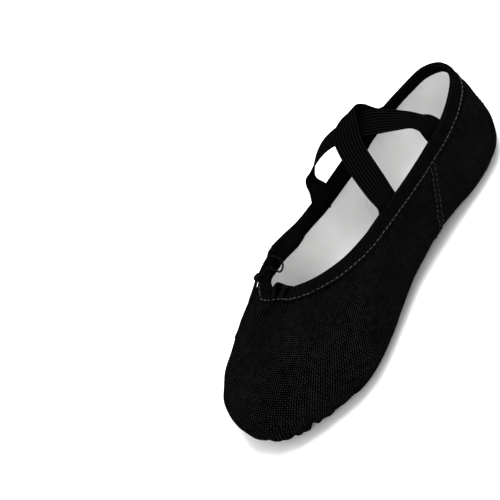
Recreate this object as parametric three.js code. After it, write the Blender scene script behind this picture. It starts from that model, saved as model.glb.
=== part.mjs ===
// A child's split-sole ballet slipper in black canvas, standing on its two suede sole pads.
// Millimetres. +X is the wearer's left, -Y the toe, +Y the heel, +Z up.
// The origin is on the ground under the middle of the slipper.
import * as THREE from 'three';

// ---------------------------------------------------------------- driving dimensions
const LENGTH = 206; // toe to heel over the canvas
const PAD = 1.8; // suede thickness of the sole pads
const GAP = 0.35; // clearance between pieces that touch on the real slipper
const CANVAS = 0.8; // canvas thickness
const LINING = 0.6; // cotton lining thickness
const LAYER_GAP = 0.5; // air between canvas and lining
const TAPE = 0.6; // thickness of the binding tape
const TAPE_GAP = 0.5; // air between the tape and what it is folded over
const BINDING_WIDTH = 8.5; // height of the folded binding
const CASING = 3.2; // room for the drawstring above the canvas edge
const DRAWSTRING_R = 0.45;
const THREAD_R = 0.25;
const SOLE_INSET = 9; // from the widest outline in to the flat sole
const GIRTH_Z = 13.5; // from the sole up to the widest contour, along the sides and heel
const GIRTH_TOE_Z = 14; // and at the toe
const ARCH_RISE = 2.6; // how far the canvas lifts between the two pads
const ARCH_Y = 22;
const ARCH_SPREAD = 26;
const STRAP_WIDTH = 13;
const STRAP_THICK = 1.2;
const STRAP_GAP = 1.5; // from an elastic's end to the binding's inner face
const FOOTBED = 2.6; // foam and cotton footbed thickness
const SOCK = 0.5; // heel sock thickness
const HINGE_Y = -20; // the flex line of the sole, behind the ball

// Half outlines run from the middle of the heel round the +X side to the middle of the toe.
// The widest contour seen from above: x, y. The back seam's thread makes up the length.
const OUTLINE_HALF = [
  [0, LENGTH / 2 - 1.5], [9.3, 96.8], [20, 85], [23.7, 66], [24.5, 45], [26, 24], [28.5, 3],
  [36, -18], [41.8, -40], [42.3, -60], [35, -80], [21.5, -96], [0, -LENGTH / 2],
];
const TOPLINE_HALF = [ // the top edge of the binding: x, y, z
  [0, 96.3, 51.8], [11.2, 92.4, 50.6], [17.4, 81.7, 48.6], [22.6, 66, 46.8], [24.8, 48, 45.8],
  [25.2, 30, 45], [24.5, 12, 44.7], [24, -3, 44.7], [21.4, -15.2, 44.4], [16, -24.9, 44],
  [9.8, -31.5, 43.4], [3.5, -35.7, 42.8], [0, -37, 42.3],
];
const FRONT_PAD_HALF = [
  [0, 9], [10, 5], [20, -6], [28.5, -22], [32.5, -40], [29, -58], [17, -71], [0, -75.5],
];
const HEEL_PAD_HALF = [[0, 90], [8, 87.5], [13.8, 79], [15.8, 66], [14.8, 54], [9.5, 45.5], [0, 43]];

// Fractions used on the upper: u goes once round the slipper from the middle of the heel,
// v is -1 at the sole's centre line, 0 at the sole's rim, GIRTH_V at the widest contour, 1 at the top.
const GIRTH_V = 0.3;
const WALL_ANGLE = THREE.MathUtils.degToRad(62); // how far the wall's curve turns before the top
const WALL_POWER = 1.39; // how square the wall's curve is
const SEAM_TOP_U = 0.163; // the side seam at the top,
const SEAM_RIM_U = 0.21; // at the sole's rim,
const SEAM_SOLE_U = 0.265; // and at the sole's centre line
const SEAM_GAP_U = 0.0004; // half the gap between vamp and quarter
const MARGIN_V = -0.42; // how far the vamp runs in under the forefoot pad
const VAMP_COLUMNS = 30;
const QUARTER_COLUMNS = 10;

const COLOURS = {
  canvas: 0x0b0b0c, lining: 0xd9d9d6, tape: 0x0a0a0a, suede: 0x141414, elastic: 0x0c0c0c,
  cord: 0x090909, thread: 0x1d1d1d, footbed: 0xdedcd8, sock: 0xe4e3e0,
};

// ---------------------------------------------------------------- curves
function mirroredLoop(half) {
  const side = half.map(([x, y, z = 0]) => new THREE.Vector3(x, y, z));
  const other = side.slice(1, -1).reverse().map((p) => new THREE.Vector3(-p.x, p.y, p.z));
  return new THREE.CatmullRomCurve3([...side, ...other], true, 'catmullrom', 0.5);
}

const outline = mirroredLoop(OUTLINE_HALF);
const topline = mirroredLoop(TOPLINE_HALF);
const wrap = (u) => u - Math.floor(u);
const lerp = THREE.MathUtils.lerp;
const range = (count) => Array.from({ length: count + 1 }, (_, i) => i / count);

const step01 = (low, high, x) => THREE.MathUtils.smoothstep(x, low, high);

function soleHeight(y) {
  return PAD + GAP + ARCH_RISE * Math.exp(-(((y - ARCH_Y) / ARCH_SPREAD) ** 2));
}

function girthPoint(u) {
  const p = outline.getPoint(wrap(u));
  const towardToe = THREE.MathUtils.clamp((-p.y - 40) / 63, 0, 1);
  p.z = soleHeight(p.y) + lerp(GIRTH_Z, GIRTH_TOE_Z, towardToe);
  return p;
}

function rimPoint(u) {
  const p = outline.getPoint(wrap(u));
  const step = 0.002;
  const along = outline.getPoint(wrap(u + step)).sub(outline.getPoint(wrap(u - step))).normalize();
  const rim = new THREE.Vector3(p.x + along.y * SOLE_INSET, p.y - along.x * SOLE_INSET, 0);
  rim.z = soleHeight(rim.y);
  return rim;
}

// ---------------------------------------------------------------- the upper's surface
// The tied drawstring draws the right of the throat up and outward, so its edge stands on end.
function throatPull(u, v) {
  const toEnd = step01(0.55, 0.65, u);
  const from = lerp(0.5, 0.72, step01(0.57, 0.64, u));
  const share = step01(0.505, 0.555, u) * (1 - step01(0.64, 0.72, u)) * step01(from, 1, v);
  return new THREE.Vector3(-7.4, lerp(-6.5, -2, toEnd), lerp(0, 1.5, toEnd)).multiplyScalar(share);
}

function upperPoint(u, v) {
  const rim = rimPoint(u);
  if (v < 0) {
    const centre = new THREE.Vector3(0, THREE.MathUtils.clamp(rim.y, -45, 80), 0);
    const p = rim.clone().lerp(centre, -v);
    p.z = soleHeight(p.y);
    return p;
  }
  const girth = girthPoint(u);
  if (v < GIRTH_V) {
    const angle = (v / GIRTH_V) * (Math.PI / 2);
    const p = rim.clone().lerp(girth, Math.sin(angle));
    p.z = lerp(rim.z, girth.z, 1 - Math.cos(angle));
    return p;
  }
  const top = topline.getPoint(wrap(u));
  const angle = ((v - GIRTH_V) / (1 - GIRTH_V)) * WALL_ANGLE;
  const inward = (1 - Math.cos(angle) ** WALL_POWER) / (1 - Math.cos(WALL_ANGLE) ** WALL_POWER);
  const upward = (Math.sin(angle) / Math.sin(WALL_ANGLE)) ** WALL_POWER;
  const p = girth.clone().lerp(top, inward);
  p.z = lerp(girth.z, top.z, upward);
  return p.add(throatPull(wrap(u), v));
}

function upperNormal(u, v) {
  const du = 0.002;
  const dv = 0.004;
  const along = upperPoint(u + du, v).sub(upperPoint(u - du, v));
  const up = upperPoint(u, v + dv).sub(upperPoint(u, v - dv));
  return up.cross(along).normalize();
}

// A point on the upper, lifted `out` along the surface's normal (negative is inward).
function upper(u, v, out) {
  return upperPoint(u, v).addScaledVector(upperNormal(u, v), out);
}

// The v that lies `distance` down the wall from the top edge.
function down(u, distance) {
  const step = 0.005;
  let v = 1;
  let last = upperPoint(u, v);
  let left = distance;
  while (left > 0 && v > 0) {
    const next = upperPoint(u, v - step);
    const length = next.distanceTo(last);
    if (length >= left) return v - (step * left) / length;
    left -= length;
    last = next;
    v -= step;
  }
  return v;
}

function onWall(u, below, out) {
  return upper(u, down(u, below), out);
}

function seamU(v) {
  return v >= 0 ? lerp(SEAM_RIM_U, SEAM_TOP_U, v) : lerp(SEAM_RIM_U, SEAM_SOLE_U, -v);
}

// ---------------------------------------------------------------- solids
function solid(points, faces) {
  let volume = 0;
  for (const [a, b, c] of faces) {
    volume += points[a].dot(points[b].clone().cross(points[c]));
  }
  const outward = volume > 0 ? faces : faces.map(([a, b, c]) => [a, c, b]);
  const geometry = new THREE.BufferGeometry();
  geometry.setAttribute('position', new THREE.Float32BufferAttribute(points.flatMap((p) => p.toArray()), 3));
  geometry.setIndex(outward.flat());
  geometry.computeVertexNormals();
  return geometry;
}

function quad(faces, a, b, c, d) {
  faces.push([a, b, c], [a, c, d]);
}

// Joins closed sections into one body. A closed path joins the last section to the first,
// an open one is closed by a fan of triangles at each end.
function loft(sections, closedPath = false) {
  const size = sections[0].length;
  const points = sections.flat();
  const faces = [];
  const steps = closedPath ? sections.length : sections.length - 1;
  for (let i = 0; i < steps; i += 1) {
    const here = i * size;
    const next = ((i + 1) % sections.length) * size;
    for (let j = 0; j < size; j += 1) {
      const k = (j + 1) % size;
      quad(faces, here + j, next + j, next + k, here + k);
    }
  }
  if (!closedPath) {
    for (const [start, flip] of [[0, true], [(sections.length - 1) * size, false]]) {
      const middle = new THREE.Vector3();
      for (let j = 0; j < size; j += 1) middle.addScaledVector(points[start + j], 1 / size);
      const centre = points.push(middle) - 1;
      for (let j = 0; j < size; j += 1) {
        const k = start + ((j + 1) % size);
        faces.push(flip ? [centre, start + j, k] : [centre, k, start + j]);
      }
    }
  }
  return solid(points, faces);
}

// A sheet of fabric: two skins of the same grid, closed round its four edges.
function sheet(columns, rows, pointAt) {
  const wide = columns.length;
  const high = rows.length;
  const points = [];
  for (const skin of [0, 1]) {
    for (const s of columns) {
      for (const t of rows) points.push(pointAt(s, t, skin));
    }
  }
  const at = (skin, i, j) => skin * wide * high + i * high + j;
  const faces = [];
  for (let i = 0; i + 1 < wide; i += 1) {
    for (let j = 0; j + 1 < high; j += 1) {
      quad(faces, at(0, i, j), at(0, i + 1, j), at(0, i + 1, j + 1), at(0, i, j + 1));
      quad(faces, at(1, i, j), at(1, i, j + 1), at(1, i + 1, j + 1), at(1, i + 1, j));
    }
    quad(faces, at(0, i, 0), at(1, i, 0), at(1, i + 1, 0), at(0, i + 1, 0));
    quad(faces, at(0, i, high - 1), at(0, i + 1, high - 1), at(1, i + 1, high - 1), at(1, i, high - 1));
  }
  for (let j = 0; j + 1 < high; j += 1) {
    quad(faces, at(0, 0, j), at(0, 0, j + 1), at(1, 0, j + 1), at(1, 0, j));
    quad(faces, at(0, wide - 1, j), at(1, wide - 1, j), at(1, wide - 1, j + 1), at(0, wide - 1, j + 1));
  }
  return solid(points, faces);
}

// A round cord or thread through the given points.
function tube(path, radius, sides, closedPath = false) {
  const count = path.length;
  let side = null;
  const sections = path.map((p, i) => {
    const before = path[closedPath ? (i - 1 + count) % count : Math.max(i - 1, 0)];
    const after = path[closedPath ? (i + 1) % count : Math.min(i + 1, count - 1)];
    const along = after.clone().sub(before).normalize();
    const seed = side ?? (Math.abs(along.z) < 0.9 ? new THREE.Vector3(0, 0, 1) : new THREE.Vector3(1, 0, 0));
    side = seed.clone().addScaledVector(along, -seed.dot(along)).normalize();
    const other = along.clone().cross(side);
    return Array.from({ length: sides }, (_, k) => {
      const angle = (k / sides) * 2 * Math.PI;
      return p.clone().addScaledVector(side, Math.cos(angle) * radius)
        .addScaledVector(other, Math.sin(angle) * radius);
    });
  });
  return loft(sections, closedPath);
}

function throughPoints(points, steps, closedPath = false) {
  const curve = new THREE.CatmullRomCurve3(points, closedPath, 'catmullrom', 0.5);
  const shares = range(steps);
  return (closedPath ? shares.slice(0, -1) : shares).map((t) => curve.getPoint(t));
}

function mirrored(geometry) {
  const position = geometry.getAttribute('position');
  const points = [];
  for (let i = 0; i < position.count; i += 1) {
    points.push(new THREE.Vector3(-position.getX(i), position.getY(i), position.getZ(i)));
  }
  const index = Array.from(geometry.getIndex().array);
  const faces = [];
  for (let i = 0; i < index.length; i += 3) faces.push(index.slice(i, i + 3));
  return solid(points, faces);
}

// ---------------------------------------------------------------- upper: canvas and lining
const VAMP_ROWS = [MARGIN_V, 0, 0.1, 0.2, GIRTH_V, 0.44, 0.58, 0.72, 0.86, 1];
const QUARTER_ROWS = [-0.985, -0.5, 0, 0.1, 0.2, GIRTH_V, 0.44, 0.58, 0.72, 0.86, 1];
const LINING_OUT = -(CANVAS + LAYER_GAP);
const SKINS = { canvas: [0, -CANVAS], lining: [LINING_OUT, LINING_OUT - LINING] };

// The rows are squeezed so that row 1 ends below the drawstring's casing.
function rowV(row, u) {
  return row <= GIRTH_V ? row : lerp(GIRTH_V, down(u, CASING), (row - GIRTH_V) / (1 - GIRTH_V));
}

function vampSheet(skins) {
  return sheet(range(VAMP_COLUMNS), VAMP_ROWS, (s, row, skin) => {
    const edge = seamU(row) + SEAM_GAP_U;
    const u = lerp(edge, 1 - edge, s);
    return upper(u, rowV(row, u), skins[skin]);
  });
}

function quarterSheet(skins) {
  return sheet(range(QUARTER_COLUMNS), QUARTER_ROWS, (s, row, skin) => {
    const u = s * (seamU(row) - SEAM_GAP_U);
    const p = upper(u, rowV(row, u), skins[skin]);
    p.x = Math.max(p.x, GAP / 2);
    return p;
  });
}

// ---------------------------------------------------------------- binding and drawstring
function toplineColumns() {
  const rear = range(QUARTER_COLUMNS).map((s) => s * SEAM_TOP_U);
  const front = range(VAMP_COLUMNS).map((s) => lerp(SEAM_TOP_U, 1 - SEAM_TOP_U, s));
  const back = rear.slice(1, -1).reverse().map((u) => 1 - u);
  return [...rear, ...front.slice(1), ...back];
}

function bindingGeometry() {
  const outside = TAPE_GAP;
  const inside = LINING_OUT - LINING - TAPE_GAP;
  const section = [
    [outside + TAPE, 0.6], [outside + TAPE, BINDING_WIDTH], [outside, BINDING_WIDTH], [outside, 0.8],
    [inside, 0.8], [inside, BINDING_WIDTH], [inside - TAPE, BINDING_WIDTH], [inside - TAPE, 0.6],
    [inside, 0], [outside, 0],
  ];
  return loft(toplineColumns().map((u) => section.map(([out, below]) => onWall(u, below, out))), true);
}

function drawstringGeometry() {
  const middle = (SKINS.canvas[0] + SKINS.lining[1]) / 2;
  const path = toplineColumns().map((u) => onWall(u, 1.95, middle));
  return tube(path, DRAWSTRING_R, 4, true);
}

// ---------------------------------------------------------------- sole pads
function padOutline(half, inset, count) {
  const loop = mirroredLoop(half);
  const step = 0.003;
  return range(count).slice(0, -1).map((u) => {
    const p = loop.getPoint(u);
    const along = loop.getPoint(wrap(u + step)).sub(loop.getPoint(wrap(u - step))).normalize();
    return new THREE.Vector3(p.x + along.y * inset, p.y - along.x * inset, 0);
  });
}

// The two stitch rows lie in channels cut in the ground side, so the pad rests on flat suede.
const STITCH_INSETS = [3.2, 6.6];
const CHANNEL_DEPTH = 1;
const CHANNEL_HALF = 0.65;

function padGeometry(half, count) {
  const profile = [[9.5, 0]];
  for (const inset of [...STITCH_INSETS].reverse()) {
    profile.push([inset + CHANNEL_HALF, 0], [inset + CHANNEL_HALF - 0.1, CHANNEL_DEPTH]);
    profile.push([inset - CHANNEL_HALF + 0.1, CHANNEL_DEPTH], [inset - CHANNEL_HALF, 0]);
  }
  profile.push([0.5, 0], [0, 0.5], [0, PAD - 0.4], [0.5, PAD]);
  return loft(profile.map(([inset, z]) => padOutline(half, inset, count).map((p) => p.setZ(z))));
}

function padStitch(half, inset, count) {
  const path = padOutline(half, inset, count).map((p) => p.setZ(CHANNEL_DEPTH / 2));
  return tube(path, THREAD_R, 4, true);
}

// ---------------------------------------------------------------- footbed
const FOOTBED_Z = CANVAS + LAYER_GAP + LINING + GAP; // above the canvas

function bedHalfWidth(y) {
  const shares = range(200);
  let best = 0;
  for (const s of shares) {
    const rim = rimPoint(s / 2);
    if (Math.abs(rim.y - y) < 1.5) best = Math.max(best, rim.x);
  }
  return best;
}

function bedGeometry(rear, front, bottom, thick, inset, stations) {
  const radius = Math.min(bedHalfWidth(rear), bedHalfWidth(front), 10);
  const sections = range(stations).map((t) => {
    const y = lerp(front, rear, t);
    const end = Math.min(t, 1 - t) * Math.abs(rear - front);
    const round = end < radius ? radius - Math.sqrt(radius ** 2 - (radius - end) ** 2) : 0;
    const half = Math.max(bedHalfWidth(y) - inset - round, 1.5);
    const low = soleHeight(y) + bottom;
    return [
      [-half, low + thick * 0.3], [-half + 0.8, low], [half - 0.8, low], [half, low + thick * 0.3],
      [half - 0.5, low + thick], [-half + 0.5, low + thick],
    ].map(([x, z]) => new THREE.Vector3(x, y, z));
  });
  return loft(sections);
}

// ---------------------------------------------------------------- instep elastics
// Each elastic is stitched inside the binding at both ends. Its way over the instep is a list of
// places and of the directions its width points in.
const STRAP_OUT = LINING_OUT - LINING - TAPE_GAP - TAPE - STRAP_GAP - STRAP_THICK / 2;
const FRONT_U = 0.233;
const REAR_U = 0.134;
const FAR_FRONT_U = 0.746; // the right front end sits a little nearer the toe than the left one
const TAB_DEPTH = 7.2;

const STRAPS = {
  a: {
    ends: [FRONT_U, 1 - REAR_U],
    lean: [-0.5, 0.6],
    way: [
      [13.8, 22, 47.7, 0.32, 0.91, -0.27], [-0.2, 30.8, 61.3, 0.8, 0.6, 0.08],
      [-12, 42.6, 67.2, 0.66, 0.63, 0.4],
      [-17.7, 53.4, 62.2, 0.88, 0.3, 0.36], [-19.3, 60, 53, 0.88, 0.45, 0],
      [-18.6, 61.2, 47.6, 0.25, 0.85, 0.45],
    ],
  },
  b: {
    ends: [REAR_U, FAR_FRONT_U],
    lean: [0.45, -0.55],
    way: [
      [16.2, 60.6, 50.8, -0.2, 0.85, -0.35], [8.3, 57, 55.3, -0.1, 0.97, -0.21],
      [-7.6, 46.4, 61.5, -0.07, 1, -0.01],
      [-21.4, 31.8, 61, -0.65, 0.75, -0.08], [-25.5, 17.9, 54.2, -0.61, 0.69, -0.39],
      [-21, 13.2, 48.2, -0.15, 0.86, -0.46],
    ],
  },
};

// On the wall the width lies flat against it, tilted by `lean` from the topline's direction.
function strapEdge(u, below, lean) {
  const alongWall = onWall(u - 0.01, below, STRAP_OUT).sub(onWall(u + 0.01, below, STRAP_OUT)).normalize();
  const upWall = onWall(u, below - 1, STRAP_OUT).sub(onWall(u, below + 1, STRAP_OUT)).normalize();
  const rearward = alongWall.y > 0 ? alongWall : alongWall.negate();
  return { at: onWall(u, below, STRAP_OUT), wide: rearward.addScaledVector(upWall, lean).normalize() };
}

function strapStations(strap) {
  const [near, far] = strap.ends;
  const [nearLean, farLean] = strap.lean;
  return [
    strapEdge(near, TAB_DEPTH, nearLean), strapEdge(near, 2, nearLean),
    ...strap.way.map(([x, y, z, a, b, c]) => ({
      at: new THREE.Vector3(x, y, z), wide: new THREE.Vector3(a, b, c).normalize(),
    })),
    strapEdge(far, 2, farLean), strapEdge(far, TAB_DEPTH, farLean),
  ];
}

function strapGeometry(strap) {
  const stations = strapStations(strap);
  const steps = 44;
  const places = throughPoints(stations.map((s) => s.at), steps);
  const widths = throughPoints(stations.map((s) => s.wide), steps);
  const sections = places.map((p, i) => {
    const along = places[Math.min(i + 1, steps)].clone().sub(places[Math.max(i - 1, 0)]).normalize();
    const wide = widths[i].clone().addScaledVector(along, -widths[i].dot(along)).normalize();
    const thick = along.clone().cross(wide);
    return [[-1, -1], [1, -1], [1, 1], [-1, 1]].map(([w, h]) => p.clone()
      .addScaledVector(wide, (w * STRAP_WIDTH) / 2).addScaledVector(thick, (h * STRAP_THICK) / 2));
  });
  return loft(sections);
}

// The box tack that holds an elastic's end: a closed rectangle of thread on its inner face.
function tackGeometry(u) {
  const out = STRAP_OUT - STRAP_THICK / 2 - GAP - THREAD_R;
  const halfU = 0.0075;
  const halfHeight = 1.8;
  const middle = 4.4;
  const path = range(20).slice(0, -1).map((t) => {
    const angle = t * 2 * Math.PI;
    const square = Math.max(Math.abs(Math.cos(angle)), Math.abs(Math.sin(angle))) ** 0.8;
    const across = Math.cos(angle) / square;
    const up = Math.sin(angle) / square;
    return onWall(u + across * halfU, middle - up * halfHeight, out - 0.15);
  });
  return tube(path, THREAD_R, 4, true);
}

// ---------------------------------------------------------------- thread on the upper
const THREAD_OUT = GAP + THREAD_R;

function bindingStitch() {
  const out = TAPE_GAP + TAPE + THREAD_OUT;
  return tube(toplineColumns().map((u) => onWall(u, BINDING_WIDTH - 1.3, out)), THREAD_R, 3, true);
}

// A row beside the side seam, `shift` behind it as a share of the way round.
function sideStitch(shift, mirror) {
  const path = range(12).map((t) => {
    const v = lerp(0.02, 0.78, t);
    const u = seamU(v) - shift;
    return upper(mirror ? 1 - u : u, v, THREAD_OUT);
  });
  return tube(path, THREAD_R, 4);
}

function backStitch() {
  const path = range(8).map((t) => upper(0.004, lerp(0.12, 0.78, t), THREAD_OUT + 0.2));
  return tube(path, THREAD_R, 4);
}

function archStitch(x) {
  const path = range(6).map((t) => {
    const y = lerp(13, 38, t);
    return new THREE.Vector3(x, y, soleHeight(y) - THREAD_OUT - 0.1);
  });
  return tube(path, THREAD_R, 4);
}

// ---------------------------------------------------------------- bow at the throat
const CORD_R = 0.45;
const KNOT_U = 0.595;
const KNOT_BELOW = 5;
const KNOT_R = 1.6;
const LYING = GAP + CORD_R; // a cord's middle, above what it lies on
const knotCentre = onWall(KNOT_U, KNOT_BELOW, TAPE_GAP + TAPE + GAP + KNOT_R);

function knotGeometry() {
  const sections = [-1, -0.8, -0.3, 0.3, 0.8, 1].map((t) => {
    const radius = KNOT_R * Math.sqrt(Math.max(1 - t * t, 0.12));
    return Array.from({ length: 8 }, (_, k) => {
      const angle = (k / 8) * 2 * Math.PI;
      const swell = 1 + 0.08 * Math.cos(2 * angle);
      const y = Math.cos(angle) * radius * swell;
      const z = Math.sin(angle) * radius * 0.9;
      return new THREE.Vector3(t * KNOT_R * 1.3, y, z).add(knotCentre);
    });
  });
  return loft(sections);
}

const fromKnot = (x, y, z) => knotCentre.clone().add(new THREE.Vector3(x, y, z));
const overEdge = (u, x, y, z) => onWall(u, 0, 0).add(new THREE.Vector3(x, y, z));
const onVamp = (u, below, lift = 0) => onWall(u, below, LYING + lift);

function cordRoutes() {
  return {
    bow_loop_rear: [
      fromKnot(2.4, 1.9, 1), overEdge(0.6, 0.8, 0, 2.4), overEdge(0.605, 6, -1, 0.8),
      overEdge(0.61, 11, -0.5, -0.6),
      overEdge(0.622, 10.3, 2, -0.6), overEdge(0.636, 8.5, 2.5, 0), overEdge(0.646, 3, 1, 2.3),
      overEdge(0.64, -2, -1.5, 2.6), fromKnot(0, 2.8, 1.4),
    ],
    bow_loop_front: [
      fromKnot(-3.1, -0.5, -0.3), onVamp(0.612, 11, 1.4), onVamp(0.622, 17), onVamp(0.63, 23),
      onVamp(0.618, 26), onVamp(0.604, 20), onVamp(0.599, 13, 0.9), fromKnot(-1.5, -2.5, -0.8),
    ],
    bow_end_left: [
      fromKnot(0.7, -2.7, -0.8), onVamp(0.586, 12.5, 1.2), onVamp(0.589, 20), onVamp(0.594, 28),
      onVamp(0.598, 34, 0.1), onVamp(0.594, 38, 0.3),
    ],
    bow_end_right: [
      fromKnot(-2.9, 1.3, 0.2), onVamp(0.622, 9.5, 1.8), onVamp(0.634, 16, 0.3), onVamp(0.645, 24),
      onVamp(0.652, 31), onVamp(0.654, 39),
    ],
  };
}

// ---------------------------------------------------------------- assembly
const slipper = new THREE.Group();

function add(name, geometry, colour, roughness = 0.9) {
  const material = new THREE.MeshStandardMaterial({ color: COLOURS[colour], roughness, metalness: 0 });
  const mesh = new THREE.Mesh(geometry, material);
  mesh.name = name;
  slipper.add(mesh);
}

add('vamp_canvas', vampSheet(SKINS.canvas), 'canvas');
add('vamp_lining', vampSheet(SKINS.lining), 'lining');
const quarterCanvas = quarterSheet(SKINS.canvas);
const quarterLining = quarterSheet(SKINS.lining);
add('quarter_canvas_left', quarterCanvas, 'canvas');
add('quarter_canvas_right', mirrored(quarterCanvas), 'canvas');
add('quarter_lining_left', quarterLining, 'lining');
add('quarter_lining_right', mirrored(quarterLining), 'lining');
add('topline_binding', bindingGeometry(), 'tape');
add('drawstring', drawstringGeometry(), 'cord');

add('forefoot_sole_pad', padGeometry(FRONT_PAD_HALF, 28), 'suede', 1);
add('heel_sole_pad', padGeometry(HEEL_PAD_HALF, 22), 'suede', 1);
add('forefoot_pad_stitch_outer', padStitch(FRONT_PAD_HALF, STITCH_INSETS[0], 28), 'thread');
add('forefoot_pad_stitch_inner', padStitch(FRONT_PAD_HALF, STITCH_INSETS[1], 28), 'thread');
add('heel_pad_stitch_outer', padStitch(HEEL_PAD_HALF, STITCH_INSETS[0], 22), 'thread');
add('heel_pad_stitch_inner', padStitch(HEEL_PAD_HALF, STITCH_INSETS[1], 22), 'thread');

add('forefoot_footbed', bedGeometry(HINGE_Y - 1, -84, FOOTBED_Z, FOOTBED, 1, 12), 'footbed');
add('heel_footbed', bedGeometry(87, HINGE_Y, FOOTBED_Z, FOOTBED, 1, 16), 'footbed');
add('heel_sock', bedGeometry(84, 24, FOOTBED_Z + FOOTBED + GAP, SOCK, 3, 12), 'sock');

add('instep_elastic_a', strapGeometry(STRAPS.a), 'elastic');
add('instep_elastic_b', strapGeometry(STRAPS.b), 'elastic');
add('tack_left_front', tackGeometry(FRONT_U), 'thread');
add('tack_left_rear', tackGeometry(REAR_U), 'thread');
add('tack_right_front', tackGeometry(FAR_FRONT_U), 'thread');
add('tack_right_rear', tackGeometry(1 - REAR_U), 'thread');

add('binding_stitch', bindingStitch(), 'thread');
for (const [side, mirror] of [['left', false], ['right', true]]) {
  add(`side_stitch_${side}_front`, sideStitch(0.004, mirror), 'thread');
  add(`side_stitch_${side}_rear`, sideStitch(0.0105, mirror), 'thread');
}
add('back_stitch', backStitch(), 'thread');
add('arch_stitch_left', archStitch(1.8), 'thread');
add('arch_stitch_right', archStitch(-1.8), 'thread');

add('bow_knot', knotGeometry(), 'cord');
for (const [name, route] of Object.entries(cordRoutes())) {
  add(name, tube(throughPoints(route, 18), CORD_R, 6), 'cord');
}

export default slipper;
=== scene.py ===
"""A child's split-sole ballet slipper in black canvas, lined in white cotton.

The working unit is the millimetre, as in the CAD; meshes are made in metres.
+X is the wearer's left, -Y the toe, +Y the heel and +Z up.
"""
import math

import bmesh
import bpy
import numpy as np
from mathutils import Matrix, Vector


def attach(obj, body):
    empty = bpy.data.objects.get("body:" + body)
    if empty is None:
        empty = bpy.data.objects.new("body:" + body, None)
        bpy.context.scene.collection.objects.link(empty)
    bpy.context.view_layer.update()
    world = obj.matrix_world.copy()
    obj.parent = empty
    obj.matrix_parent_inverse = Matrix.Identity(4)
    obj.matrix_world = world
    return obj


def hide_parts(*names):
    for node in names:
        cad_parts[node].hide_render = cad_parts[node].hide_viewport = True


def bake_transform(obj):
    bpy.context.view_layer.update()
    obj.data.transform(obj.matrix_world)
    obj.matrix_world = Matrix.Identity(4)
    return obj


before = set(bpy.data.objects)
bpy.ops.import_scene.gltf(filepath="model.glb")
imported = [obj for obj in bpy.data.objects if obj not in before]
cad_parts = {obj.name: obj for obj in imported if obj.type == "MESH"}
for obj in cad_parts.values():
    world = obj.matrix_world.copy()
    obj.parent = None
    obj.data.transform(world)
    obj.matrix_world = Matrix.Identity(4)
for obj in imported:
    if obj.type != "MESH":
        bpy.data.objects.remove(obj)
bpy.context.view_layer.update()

MM = 0.001
MIRROR = (-1, 1, 1)
DOWNWARD = (0.0, 0.0, -1.0)

# ---------------------------------------------------------------- shared with the CAD
LENGTH = 206
PAD = 1.8
GAP = 0.35
BINDING_WIDTH = 8.5
CASING = 3.2
SOLE_INSET = 9
GIRTH_Z = 13.5
GIRTH_TOE_Z = 14
ARCH_RISE = 2.6
ARCH_Y = 22
ARCH_SPREAD = 26
STRAP_WIDTH = 13
HINGE_Y = -20

OUTLINE_HALF = [ # the widest contour seen from above: x, y
    (0, LENGTH / 2 - 1.5), (9.3, 96.8), (20, 85), (23.7, 66), (24.5, 45), (26, 24), (28.5, 3),
    (36, -18), (41.8, -40), (42.3, -60), (35, -80), (21.5, -96), (0, -LENGTH / 2),
]
TOPLINE_HALF = [
    (0, 96.3, 51.8), (11.2, 92.4, 50.6), (17.4, 81.7, 48.6), (22.6, 66, 46.8), (24.8, 48, 45.8),
    (25.2, 30, 45), (24.5, 12, 44.7), (24, -3, 44.7), (21.4, -15.2, 44.4), (16, -24.9, 44),
    (9.8, -31.5, 43.4), (3.5, -35.7, 42.8), (0, -37, 42.3),
]
FRONT_PAD_HALF = [(0, 9), (10, 5), (20, -6), (28.5, -22), (32.5, -40), (29, -58), (17, -71), (0, -75.5)]
HEEL_PAD_HALF = [(0, 90), (8, 87.5), (13.8, 79), (15.8, 66), (14.8, 54), (9.5, 45.5), (0, 43)]

GIRTH_V = 0.3
WALL_ANGLE = math.radians(62)
WALL_POWER = 1.39
SEAM_TOP_U = 0.163
SEAM_RIM_U = 0.21
SEAM_SOLE_U = 0.265
MARGIN_V = -0.42

STRAP_LINE_OUT = -4.2
FRONT_U = 0.233
REAR_U = 0.134
FAR_FRONT_U = 0.746
STRAPS = {
    "a": {
        "ends": (FRONT_U, 1 - REAR_U),
        "lean": (-0.5, 0.6),
        "way": [
            (13.8, 22, 47.7, 0.32, 0.91, -0.27), (-0.2, 30.8, 61.3, 0.8, 0.6, 0.08),
            (-12, 42.6, 67.2, 0.66, 0.63, 0.4), (-17.7, 53.4, 62.2, 0.88, 0.3, 0.36),
            (-19.3, 60, 53, 0.88, 0.45, 0), (-18.6, 61.2, 47.6, 0.25, 0.85, 0.45),
        ],
    },
    "b": {
        "ends": (REAR_U, FAR_FRONT_U),
        "lean": (0.45, -0.55),
        "way": [
            (16.2, 60.6, 50.8, -0.2, 0.85, -0.35), (8.3, 57, 55.3, -0.1, 0.97, -0.21),
            (-7.6, 46.4, 61.5, -0.07, 1, -0.01), (-21.4, 31.8, 61, -0.65, 0.75, -0.08),
            (-25.5, 17.9, 54.2, -0.61, 0.69, -0.39), (-21, 13.2, 48.2, -0.15, 0.86, -0.46),
        ],
    },
}

# ---------------------------------------------------------------- what only shows here
BINDING_OUTSIDE = 0.45
BINDING_INSIDE = -1.85
BINDING_THICK = 0.5
BINDING_SEAM = BINDING_WIDTH - 1.3
HEEL_INNER_WIDTH = 6.0 # the folded tape shows less on the inside round the heel
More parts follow.
